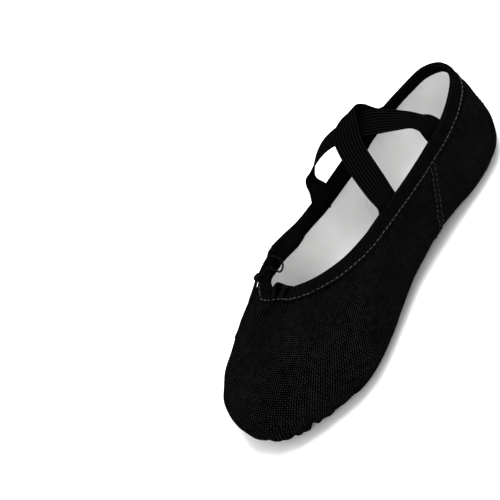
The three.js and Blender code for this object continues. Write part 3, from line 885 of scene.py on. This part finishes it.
def build_quarter(side, layer, skins, material, slot):
    u, v = panel_grid(0, seam_u(QUARTER_ROWS) - SEAM_GAP_U, QUARTER_COLUMNS, QUARTER_ROWS)
    below = below_top(u, v)
    around = u if side == "left" else 1 - u
    relief = gather_relief(around, below) + soft_relief(around, v, below) * smooth(u / 0.02)
    relief = relief * under_tape(below)
    relief = (relief + seam_ridge(u, v) + back_ridge(u)) * QUARTER_RELIEF[layer]
    skin = []
    for out in skins:
        points = upper(u, v, out + relief)
        points[..., 0] = np.maximum(points[..., 0], 0.06)
        skin.append(points if side == "left" else points * MIRROR)
    uv = np.stack([top_arc(u), below], -1)
    panel = sheet_piece(f"quarter_{layer}_{side}_cloth", *skin, uv, material)
    tie(panel, [f"quarter_{layer}_{side}"])


def build_upper():
    for layer in LAYERS:
        build_vamp(*layer)
    for side in ("left", "right"):
        for layer in LAYERS:
            build_quarter(side, *layer)


# ---------------------------------------------------------------- binding
def binding_line():
    """Out and below of the folded tape's middle line, from its outer edge over the top to its inner edge."""
    middle = (BINDING_OUTSIDE + BINDING_INSIDE) / 2
    radius = (BINDING_OUTSIDE - BINDING_INSIDE) / 2
    line = [(BINDING_OUTSIDE, below) for below in np.linspace(BINDING_WIDTH, radius + 0.4, 22)]
    for angle in np.linspace(0, math.pi, 13)[1:-1]:
        line.append((middle + math.cos(angle) * radius, radius - math.sin(angle) * radius))
    line += [(BINDING_INSIDE, below) for below in np.linspace(radius + 0.4, BINDING_WIDTH - 0.3, 16)]
    return np.array(line)


def binding_relief(u, below):
    """The drawstring's bulge along the top, the sewn groove, and the puckers of the gathered tape."""
    arc = top_arc(u)
    throat = hill(u, 0.56, 0.075)
    bulge = 0.3 * hill(below, 2.4, 1.1)
    groove = -0.35 * hill(below, BINDING_SEAM, 0.5)
    lip = 0.15 * smooth((below - (BINDING_WIDTH - 0.8)) / 0.6)
    pucker = np.sin(arc * 2.1 + 1.4 * np.sin(arc * 0.37)) * (0.06 + 0.30 * throat)
    pucker = pucker + waves(arc, below * 2, 9, 21) * (0.1 + 0.12 * throat)
    dents = 0.8 * hill(u, 0.511, 0.004) + 1.1 * hill(u, 0.549, 0.006)
    swell = (1.2 * hill(u, 0.529, 0.009) - dents) * hill(below, 3.5, 3.5)
    shape = 0.35 + 0.65 * np.sin(np.clip(below / BINDING_WIDTH, 0, 1) * math.pi)
    return bulge + groove + lip + pucker * shape + swell


def tape_rise(u, below):
    """How far the tape is pushed up where the drawstring bunches it, right of the throat's middle."""
    bunch = 4.0 * hill(u, 0.5285, 0.0085) + 0.6 * hill(u, 0.575, 0.008)
    return bunch * (1 - smooth(below / BINDING_WIDTH))


def build_binding():
    columns = 900
    u = (np.arange(columns) / columns)[:, None]
    line = binding_line()
    heading = unit(np.gradient(line, axis=0))
    sideways = np.stack([-heading[:, 1], heading[:, 0]], -1) * BINDING_THICK / 2
    section = np.concatenate([line + sideways, (line - sideways)[::-1]])
    outer = np.concatenate([np.linspace(1, -1, len(line)), np.linspace(-1, 1, len(line))])
    inner_share = smooth(-outer / 0.2)
    from_heel = np.abs((u + 0.5) % 1 - 0.5)
    inner_width = lerp(HEEL_INNER_WIDTH, BINDING_WIDTH, smooth((from_heel - 0.11) / 0.08))
    below = np.clip(section[:, 1], 0, None) * lerp(1, inner_width / BINDING_WIDTH, inner_share)
    relief = binding_relief(u, below) * np.clip(outer * 3 + 0.4, -1, 1)
    flare = np.interp(u, *np.transpose(FLARE))
    out = section[:, 0] + relief - flare * inner_share * smooth(below / 6)
    points = on_wall(u, below, out)
    points[..., 2] += tape_rise(u, below)
    along = path_lengths(np.column_stack([line, np.zeros(len(line))]))
    run = np.concatenate([along, along[::-1]])
    uv = paired(top_arc(u), run)
    tape = loft_piece("topline_binding_tape", points, TAPE, uv, closed=True)
    tie(tape, ["topline_binding"])


def build_drawstring():
    u = np.arange(480) / 480
    path = on_wall(u, 2.0, -0.75)
    cord = cord_piece("drawstring_cord", path, CORD_RADIUS, CORD, closed=True)
    tie(cord, ["drawstring"])


# ---------------------------------------------------------------- stitching on the upper
def wall_row(u, v, out):
    return upper(u, v, out), upper_normal(u, v)


def sew(name, node, path, normals, thread, body=None, **row):
    tie(stitch_row(name, path, normals, thread, **row), [node], body)


def build_side_stitches(side, place, shift):
    v = np.linspace(0.02, 0.8, 60)
    u = seam_u(v) - shift
    below = below_top(u[None, :], v[None, :])[0] + 6
    around = u if side == "left" else 1 - u
    relief = gather_relief(around, below) + soft_relief(around, v, below) + seam_ridge(u, v)
    path, normals = wall_row(u, v, relief)
    if side == "right":
        path = path * MIRROR
        normals = normals * MIRROR
    place = f"{side}_{place}"
    sew(f"side_stitches_{place}", f"side_stitch_{place}", path, normals, SEAM_THREAD, jitter=0.08, seed=9)


def build_stitching():
    u = np.arange(900) / 900
    path, normals = wall_row(u, down(u, BINDING_SEAM), BINDING_OUTSIDE + BINDING_THICK / 2 - 0.2)
    sew("binding_stitches", "binding_stitch", path, normals, THREAD, closed=True, jitter=0.12, seed=5)
    for side in ("left", "right"):
        for place, shift in (("front", 0.004), ("rear", 0.0105)):
            build_side_stitches(side, place, shift)
    v = np.linspace(0.12, 0.8, 50)
    path, normals = wall_row(np.full(v.shape, 0.0045), v, 0.35)
    sew("back_stitches", "back_stitch", path, normals, SEAM_THREAD, "heel", seed=3)
    for side, x in (("left", 1.8), ("right", -1.8)):
        y = np.linspace(13, 38, 30)
        path = np.stack([np.full(y.shape, x), y, sole_height(y)], -1)
        normals = np.tile(DOWNWARD, (len(path), 1))
        sew(f"arch_stitches_{side}", f"arch_stitch_{side}", path, normals, SEAM_THREAD, "heel", seed=2)


# ---------------------------------------------------------------- sole pads
STITCH_INSETS = (3.2, 6.6)
CHANNEL_DEPTH = 1.0
CHANNEL_HALF_WIDTH = 0.75
THREAD_HEIGHT = 0.55 # of the pads' thread, above the ground
PAD_EDGE = 0.5 # radius of the rounding
PAD_MIDDLE = 9.5 # the flat middle of the underside starts this far in


def pad_outline(half, inset, count):
    x, y = inset_curve(mirrored_loop(half), np.arange(count) / count, inset, 0.003)
    return np.stack([x, y, np.zeros(count)], -1)


def pad_profile():
    profile = [(PAD_MIDDLE, 0.0)]
    for inset in reversed(STITCH_INSETS):
        for t in np.linspace(-1, 1, 9):
            profile.append((inset - CHANNEL_HALF_WIDTH * t, CHANNEL_DEPTH * math.sqrt(max(1 - t * t, 0))))
    quarter_turn = np.linspace(0, math.pi / 2, 6)
    rounding = [(PAD_EDGE * (1 - math.sin(a)), PAD_EDGE * (1 - math.cos(a))) for a in quarter_turn]
    return profile + rounding + [(inset, PAD - z) for inset, z in reversed(rounding)]


def build_pad(name, half, body=None):
    rings = [pad_outline(half, inset, 160) + (0, 0, z) for inset, z in pad_profile()]
    pad = loft_piece(f"{name}_sole_suede", np.array(rings), SUEDE)
    tie(pad, [f"{name}_sole_pad"], body)
    for place, inset in zip(("outer", "inner"), STITCH_INSETS):
        path = pad_outline(half, inset, 240) + (0, 0, THREAD_HEIGHT)
        normals = np.tile(DOWNWARD, (len(path), 1))
        node = f"{name}_pad_stitch_{place}"
        sew(f"{name}_pad_stitches_{place}", node, path, normals, THREAD, body, closed=True, seed=6)


# ---------------------------------------------------------------- footbed and sock
FOOTBED_LOW = 1.75
FOOTBED_THICK = 2.8
BED_TOP_POINTS = 41
BED_LOW_POINTS = 7
BED_RIMS = rim_point(np.linspace(0, 0.5, 401))


def bed_half_width(y):
    near = np.abs(BED_RIMS[:, 1] - y) < 1.5
    return BED_RIMS[near, 0].max() if near.any() else 0.0


def build_bed(name, rear, front, low, thick, inset, material, node, round_front, round_rear, body=None,
              crown=0.9):
    """A cushion cut to the sole: rounded edges, a low crown, uv in plan millimetres."""
    sections = []
    for y in np.linspace(front, rear, 90):
        half = bed_half_width(y) - inset
        for end, radius in ((y - front, round_front), (rear - y, round_rear)):
            if end < radius:
                half -= radius - math.sqrt(max(radius**2 - (radius - end) ** 2, 0))
        half = max(half, 1.0)
        base = sole_height(y) + low
        share = np.linspace(-1, 1, BED_TOP_POINTS)
        swell = crown * (1 - share**2) + 0.12 * waves(share * half, y, 24, 31)
        z = base + thick * (1 - 0.55 * share**6) + swell * min(thick, 1)
        low_share = np.linspace(1, -1, BED_LOW_POINTS + 2)[1:-1]
        top = np.stack([share * half, np.full(share.shape, y), z], -1)
        bottom = np.stack([low_share * half, np.full(low_share.shape, y), np.full(low_share.shape, base)], -1)
        sections.append(np.vstack([top, bottom]))
    points = np.array(sections)
    bed = loft_piece(name, points, material, points[..., :2])
    tie(bed, [node], body)
    return bed


def build_inside():
    for place, rear, front, round_front, round_rear in (
        ("forefoot", HINGE_Y - 0.1, -86, 10, 0), ("heel", 90, HINGE_Y + 0.1, 0, 8),
    ):
        cushion = build_bed(f"{place}_footbed_cushion", rear, front, FOOTBED_LOW, FOOTBED_THICK, -1.5,
                            FOOTBED, f"{place}_footbed", round_front, round_rear)
    low = FOOTBED_LOW + FOOTBED_THICK + 0.8
    sock = build_bed("heel_sock_patch", 86, 24, low, 0.5, 1.5, SOCK, "heel_sock", 14, 8,
                     "heel", crown=0.2)


# ---------------------------------------------------------------- instep elastics
def strap_edge(u, below, lean):
    along_wall = unit(on_wall(u - 0.01, below, STRAP_LINE_OUT) - on_wall(u + 0.01, below, STRAP_LINE_OUT))
    up_wall = unit(on_wall(u, below - 1, STRAP_LINE_OUT) - on_wall(u, below + 1, STRAP_LINE_OUT))
    rearward = along_wall if along_wall[1] > 0 else -along_wall
    return on_wall(u, below, STRAP_LINE_OUT), unit(rearward + up_wall * lean)


def strap_stations(strap):
    near, far = strap["ends"]
    near_lean, far_lean = strap["lean"]
    stations = [strap_edge(near, below, near_lean) for below in (TAB_SHOWN, 2)]
    stations += [(np.array(p[:3], float), unit(np.array(p[3:], float))) for p in strap["way"]]
    stations += [strap_edge(far, below, far_lean) for below in (2, TAB_SHOWN)]
    return stations


def strap_section():
    """Across and thickness of a ribbed elastic, as a closed loop: two ribbed faces and rounded edges."""
    across = np.linspace(-1, 1, 109)
    edge = np.sqrt(np.clip(1 - np.abs(across) ** 14, 0, 1))
    rib = np.abs(np.cos(across * RIBS * math.pi / 2)) * RIB_HEIGHT
    half = (STRAP_THICK / 2 - RIB_HEIGHT + rib) * edge
    upper_side = np.stack([across, half], -1)
    lower_side = np.stack([across, -half], -1)[::-1][1:-1]
    return np.concatenate([upper_side, lower_side])


def build_strap(which):
    stations = strap_stations(STRAPS[which])
    count = 200
    places = open_curve([s[0] for s in stations], count)
    widths = open_curve([s[1] for s in stations], count)
    along = headings(places)
    wide = unit(widths - along * np.sum(widths * along, 1, keepdims=True))
    thick = np.cross(along, wide)
    section = strap_section()
    spread = 1 + STRAP_SPREAD[which] * hill(np.linspace(0, 1, count), STRAP_CROSSING, 0.09)
    wide = wide * spread[:, None]
    across = section[None, :, :1] * STRAP_WIDTH / 2
    points = places[:, None] + wide[:, None] * across + thick[:, None] * section[None, :, 1:]
    lengths = path_lengths(places)
    uv = paired(across[..., 0], lengths[:, None])
    strap = loft_piece(f"instep_elastic_{which}_webbing", points, ELASTIC, uv)
    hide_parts(f"instep_elastic_{which}")
    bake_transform(strap)


TACK_BELOW = 3.2
TACK_HALF_HIGH = 1.3
TACK_HALF_U = 0.0075


def build_tack(side, place, u):
    """A box of thread through the elastic's end."""
    corners = [(-1, -1), (1, -1), (1, 1), (-1, 1), (-1, -1)]
    line = []
    for (a, b), (c, d) in zip(corners, corners[1:]):
        for t in np.linspace(0, 1, 12)[:-1]:
            line.append((lerp(a, c, t), lerp(b, d, t)))
    line = np.array(line)
    at_u = u + line[:, 0] * TACK_HALF_U
    at_v = down(at_u, TACK_BELOW - line[:, 1] * TACK_HALF_HIGH)
    path, normals = wall_row(at_u, at_v, STRAP_LINE_OUT - STRAP_THICK / 2)
    node = f"tack_{side}_{place}"
    sew(f"{node}_thread", node, path, -normals, TACK_THREAD, "heel", closed=True, pitch=1.9, length=1.7)


def build_elastics():
    build_strap("a")
    build_strap("b")
    ends = (("left", "front", FRONT_U), ("left", "rear", REAR_U),
            ("right", "front", FAR_FRONT_U), ("right", "rear", 1 - REAR_U))
    for side, place, u in ends:
        build_tack(side, place, u)


# ---------------------------------------------------------------- bow at the throat
KNOT_U = 0.595
KNOT_BELOW = 5
KNOT_RADIUS = 1.6
KNOT_TURNS = 2.5
KNOT = on_wall(KNOT_U, KNOT_BELOW, 0.5 + 0.6 + GAP + KNOT_RADIUS)
LYING = 0.55


def from_knot(x, y, z):
    return KNOT + np.array((x, y, z))


def over_edge(u, x, y, z):
    return on_wall(u, 0, 0) + np.array((x, y, z))


def on_vamp(u, below, lift=0.0):
    return on_wall(u, below, LYING + lift)


BOW_ROUTES = {
    "bow_loop_rear": [
        from_knot(1.2, 1.0, 0.6), over_edge(0.6, 0.8, 0, 1.8), over_edge(0.605, 6, -1, 0.8),
        over_edge(0.606, 8.8, -0.5, -0.2), over_edge(0.612, 9.2, 1.2, 0.2), over_edge(0.619, 6.8, 1.8, 0.9),
        over_edge(0.624, 2.6, 0.8, 1.9), over_edge(0.62, -0.6, -0.5, 2), from_knot(0, 1.4, 0.8),
    ],
    "bow_loop_front": [
        from_knot(-1.6, -0.4, -0.3), on_vamp(0.612, 11, 0.9), on_vamp(0.622, 17), on_vamp(0.63, 23),
        on_vamp(0.618, 26), on_vamp(0.604, 20), on_vamp(0.599, 13, 0.6), from_knot(-0.9, -1.3, -0.6),
    ],
    "bow_end_left": [
        from_knot(0.4, -1.4, -0.5), on_vamp(0.586, 12.5, 0.8), on_vamp(0.589, 20), on_vamp(0.594, 28),
        on_vamp(0.598, 34, 0.1), on_vamp(0.594, 38, 0.3),
    ],
    "bow_end_right": [
        from_knot(-1.5, 0.7, 0.1), on_vamp(0.622, 9.5, 1.3), on_vamp(0.634, 16, 0.2), on_vamp(0.645, 24),
        on_vamp(0.652, 31), on_vamp(0.654, 39),
    ],
}


def knot_path():
    """The knot's turns of cord, drawn tight."""
    t = np.linspace(0, 1, 90)
    angle = t * 2 * math.pi * KNOT_TURNS
    reach = KNOT_RADIUS - CORD_RADIUS * 0.6
    x = (t - 0.5) * 2.6 + 0.4 * np.sin(angle * 1.5)
    return np.stack([x, np.cos(angle) * reach * 1.05, np.sin(angle) * reach * 0.85], -1) + KNOT


def build_bow():
    knot = cord_piece("bow_knot_cord", knot_path(), CORD_RADIUS * 1.25, CORD)
    tie(knot, ["bow_knot"], "forefoot")
    for name, route in BOW_ROUTES.items():
        path = even_steps(open_curve(route, 240), 160)
        cord = cord_piece(f"{name}_cord", path, CORD_RADIUS, CORD)
        tie(cord, [name], "forefoot")


# ---------------------------------------------------------------- camera, light and floor
CAMERA_AZIMUTH = 67.8
CAMERA_ELEVATION = 35.8
CAMERA_ROLL = -40.35
CAMERA_DISTANCE = 0.9
CAMERA_LENS = 134.53
CAMERA_TARGET = Vector((0, 0, 0.025))
CAMERA_AIM = Vector((0.05705, 0.00086, -1)) # where the target lies, as the camera sees it


def place_camera():
    azimuth, elevation, roll = (math.radians(x) for x in (CAMERA_AZIMUTH, CAMERA_ELEVATION, CAMERA_ROLL))
    level = math.cos(elevation)
    back = Vector((math.sin(azimuth) * level, -math.cos(azimuth) * level, math.sin(elevation)))
    right = Vector((0, 0, 1)).cross(back).normalized()
    up = back.cross(right)
    across = right * math.cos(roll) + up * math.sin(roll)
    upward = up * math.cos(roll) - right * math.sin(roll)
    turned = Matrix((across, upward, back)).transposed()
    aside = CAMERA_AIM.normalized().rotation_difference(Vector((0, 0, -1))).to_matrix()
    data = bpy.data.cameras.new("camera")
    data.lens = CAMERA_LENS
    data.sensor_width = 36
    data.clip_start = 0.01
    data.clip_end = 20
    camera = bpy.data.objects.new("camera", data)
    place = Matrix.Translation(CAMERA_TARGET + back * CAMERA_DISTANCE)
    camera.matrix_world = place @ (turned @ aside).to_4x4()
    bpy.context.scene.collection.objects.link(camera)
    bpy.context.scene.camera = camera


def add_softbox(name, location, size, power):
    data = bpy.data.lights.new(name, "AREA")
    data.shape = "SQUARE"
    data.size = size
    data.energy = power
    light = bpy.data.objects.new(name, data)
    light.location = location
    light.rotation_euler = (CAMERA_TARGET - Vector(location)).to_track_quat("-Z", "Y").to_euler()
    bpy.context.scene.collection.objects.link(light)


def build_studio():
    scene = bpy.context.scene
    scene.view_settings.view_transform = "Standard"
    world = bpy.data.worlds.new("studio")
    world.use_nodes = True
    world.node_tree.nodes["Background"].inputs["Color"].default_value = (1, 1, 1, 1)
    world.node_tree.nodes["Background"].inputs["Strength"].default_value = 1.0
    scene.world = world
    add_softbox("key_softbox", (0.2, 0.45, 1.7), 1.0, 38)
    add_softbox("side_softbox", (1.0, -1.1, 0.8), 0.9, 9)
    floor = make_piece("floor", np.array([(-4e3, -4e3, 0), (4e3, -4e3, 0), (4e3, 4e3, 0), (-4e3, 4e3, 0)]),
                       [[0, 1, 2, 3]], floor_finish())


def floor_finish():
    f = Finish("pale_floor", 0.9, 0.1)
    f.colour((0.95, 0.95, 0.95))
    return f.material


place_camera()
build_studio()
build_upper()
build_binding()
build_drawstring()
build_stitching()
build_pad("forefoot", FRONT_PAD_HALF)
build_pad("heel", HEEL_PAD_HALF, "heel")
build_inside()
build_elastics()
build_bow()
